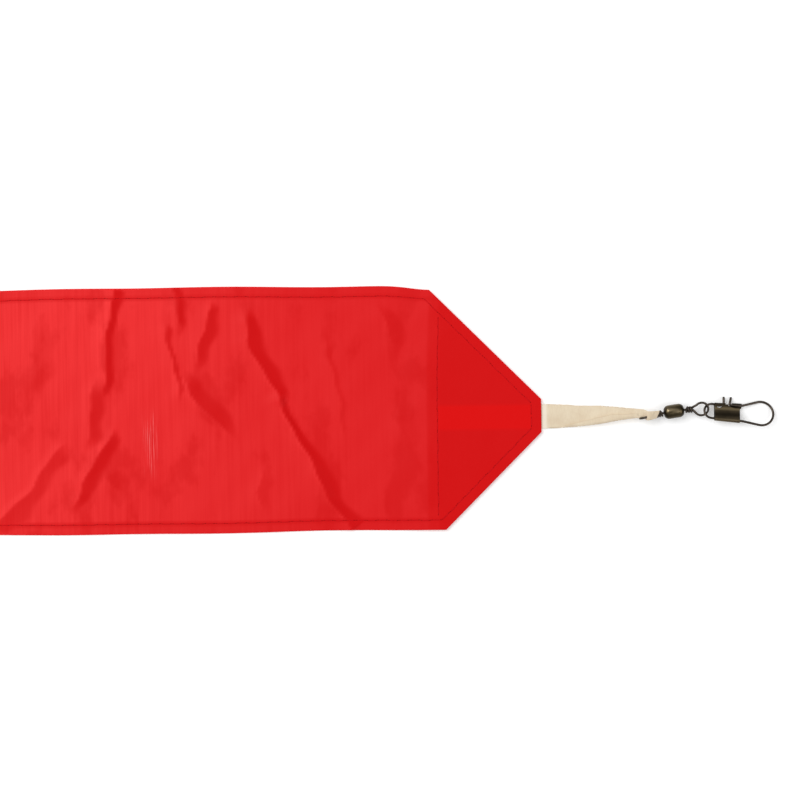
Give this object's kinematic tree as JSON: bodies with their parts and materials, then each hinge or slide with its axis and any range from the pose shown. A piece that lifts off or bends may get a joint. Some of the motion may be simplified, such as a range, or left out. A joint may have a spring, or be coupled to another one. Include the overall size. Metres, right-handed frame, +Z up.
{
  "type": "warning streamer",
  "caption": "Flat red cloth warning streamer with a pointed stitched head, a woven tape loop, a barrel swivel and an interlock wire snap.",
  "frame": {"origin": "centre of the whole object's box, on the surface the streamer lies on", "axes": "+X along the strip towards the snap, +Y across the strip, +Z up from the surface the strip lies on"},
  "size_m": [0.6948, 0.1, 0.0065],
  "materials": {
    "red_cloth": "satin",
    "red_thread": "matte",
    "cream_tape": "matte",
    "barrel_shell": "gloss",
    "swivel_wire": "satin",
    "snap_wire": "satin",
    "clasp_sheet": "satin"
  },
  "bodies": {
    "streamer": {"streamer_panel": "red_cloth", "head_patch": "red_cloth", "tape_sewn_end": "cream_tape", "upper_edge_thread": "red_thread", "lower_edge_thread": "red_thread", "tail_thread": "red_thread", "head_edge_thread": "red_thread", "patch_seam_thread": "red_thread"},
    "tape": {"tape_loop": "cream_tape"},
    "tape_eye": {"swivel_tape_eye": "swivel_wire"},
    "barrel": {"swivel_barrel": "barrel_shell"},
    "snap_eye": {"swivel_snap_eye": "swivel_wire"},
    "snap": {"snap_wire": "snap_wire", "snap_clasp": "clasp_sheet"},
    "gate": {"snap_gate": "snap_wire"}
  },
  "joints": [
    {"name": "tape_fold", "type": "hinge", "parent": "streamer", "child": "tape", "pos_m": [0.25309, -0.0043, 0.00085], "axis": [0, -1, 0], "range_deg": [0, 90]},
    {"name": "swivel_swing", "type": "hinge", "parent": "tape", "child": "tape_eye", "pos_m": [0.29259, -0.00564, 0.0033], "axis": [0, 0, 1], "range_deg": [-50, 50]},
    {"name": "tape_eye_spin", "type": "hinge", "parent": "tape_eye", "child": "barrel", "pos_m": [0.30636, -0.00289, 0.0033], "axis": [0.9895, 0.1444, 0], "continuous": true},
    {"name": "snap_eye_spin", "type": "hinge", "parent": "barrel", "child": "snap_eye", "pos_m": [0.30636, -0.00289, 0.0033], "axis": [0.9895, 0.1444, 0], "continuous": true},
    {"name": "snap_swing", "type": "hinge", "parent": "snap_eye", "child": "snap", "pos_m": [0.31761, -0.00208, 0.0033], "axis": [0.0119, -0.3418, 0.9397], "range_deg": [-90, 90]},
    {"name": "gate_open", "type": "hinge", "parent": "snap", "child": "gate", "pos_m": [0.34696, -0.00459, 0.00184], "axis": [0.0464, 0.9501, -0.3086], "range_deg": [0, 25], "stiffness_Nm_per_rad": 0.03}
  ]
}
